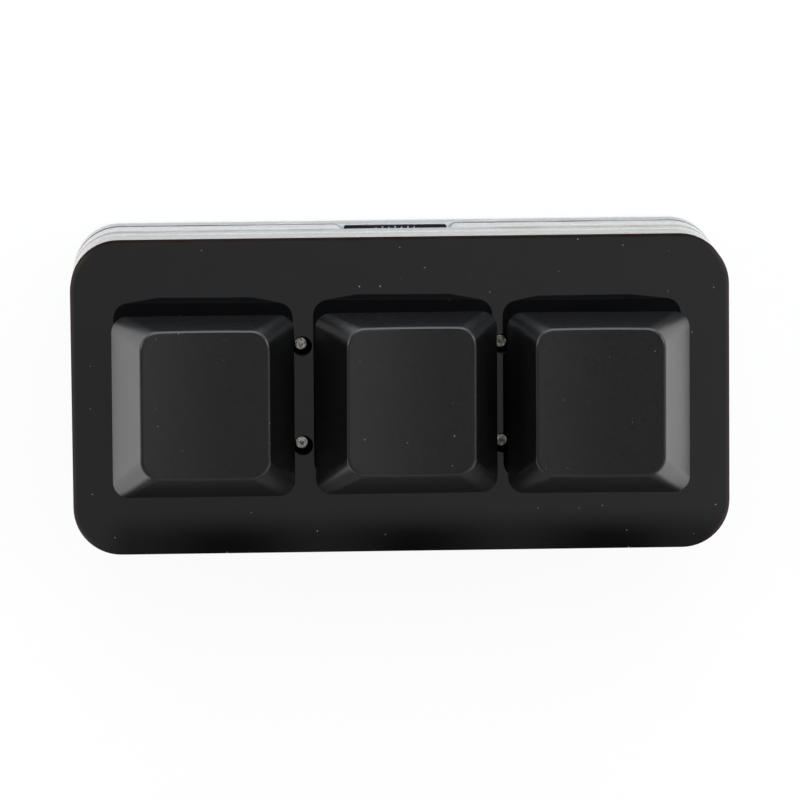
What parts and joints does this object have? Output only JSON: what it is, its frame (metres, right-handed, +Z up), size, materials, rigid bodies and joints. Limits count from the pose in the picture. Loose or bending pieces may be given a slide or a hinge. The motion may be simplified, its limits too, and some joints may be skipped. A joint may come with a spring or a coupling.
{
  "type": "mini keypad",
  "caption": "Small desktop keypad with sprung square keys in a black top plate on clear layers and a cable socket at the back.",
  "frame": {"origin": "on the table under the middle of the case, level with the soles of the feet", "axes": "+X along the row of keys to the right, +Y to the side with the socket, +Z up"},
  "size_m": [0.0658, 0.0314, 0.0349],
  "materials": {
    "black_acrylic": "polished cast sheet, mirror gloss",
    "clear_acrylic": "clear cast sheet with laser-cut edges",
    "cap_plastic": "fine satin grain",
    "screw_steel": "plain machine screw",
    "foot_rubber": "soft matte",
    "white_nylon": "natural nylon",
    "black_board": "solder resist",
    "black_nylon": "moulded",
    "gold_plate": "thin gold plate",
    "socket_steel": "nickel plated",
    "chip_resin": "moulded resin",
    "tinned_leads": "tinned",
    "tan_ceramic": "ceramic",
    "stem_plastic": "moulded acetal",
    "spring_steel": "drawn wire",
    "contact_copper": "rolled strip"
  },
  "bodies": {
    "case": {"top_plate": "black_acrylic", "upper_frame": "clear_acrylic", "middle_frame": "clear_acrylic", "bottom_plate": "clear_acrylic", "case_screws": "screw_steel", "rubber_feet": "foot_rubber", "upper_spacers": "white_nylon", "lower_spacers": "white_nylon", "switch_board": "black_board", "controller_board": "black_board", "link_strip": "black_nylon", "link_pins": "gold_plate", "port_shell": "socket_steel", "port_tongue": "black_nylon", "port_contacts": "gold_plate", "controller_chip": "chip_resin", "chip_leads": "tinned_leads", "crystal": "socket_steel", "capacitors": "tan_ceramic", "resistors": "chip_resin", "diodes": "chip_resin", "switch_base_left": "black_nylon", "switch_cover_left": "black_nylon", "switch_spring_left": "spring_steel", "fixed_contact_left": "contact_copper", "moving_contact_left": "contact_copper", "switch_base_middle": "black_nylon", "switch_cover_middle": "black_nylon", "switch_spring_middle": "spring_steel", "fixed_contact_middle": "contact_copper", "moving_contact_middle": "contact_copper", "switch_base_right": "black_nylon", "switch_cover_right": "black_nylon", "switch_spring_right": "spring_steel", "fixed_contact_right": "contact_copper", "moving_contact_right": "contact_copper"},
    "key_left": {"keycap_left": "cap_plastic", "switch_stem_left": "stem_plastic"},
    "key_middle": {"keycap_middle": "cap_plastic", "switch_stem_middle": "stem_plastic"},
    "key_right": {"keycap_right": "cap_plastic", "switch_stem_right": "stem_plastic"}
  },
  "joints": [
    {"name": "key_left_press", "type": "slide", "parent": "case", "child": "key_left", "axis": [0, 0, -1], "range_m": [0, 0.004], "stiffness_N_per_m": 100, "springref_m": -0.0035, "deforming": ["switch_spring_left"]},
    {"name": "key_middle_press", "type": "slide", "parent": "case", "child": "key_middle", "axis": [0, 0, -1], "range_m": [0, 0.004], "stiffness_N_per_m": 100, "springref_m": -0.0035, "deforming": ["switch_spring_middle"]},
    {"name": "key_right_press", "type": "slide", "parent": "case", "child": "key_right", "axis": [0, 0, -1], "range_m": [0, 0.004], "stiffness_N_per_m": 100, "springref_m": -0.0035, "deforming": ["switch_spring_right"]}
  ]
}
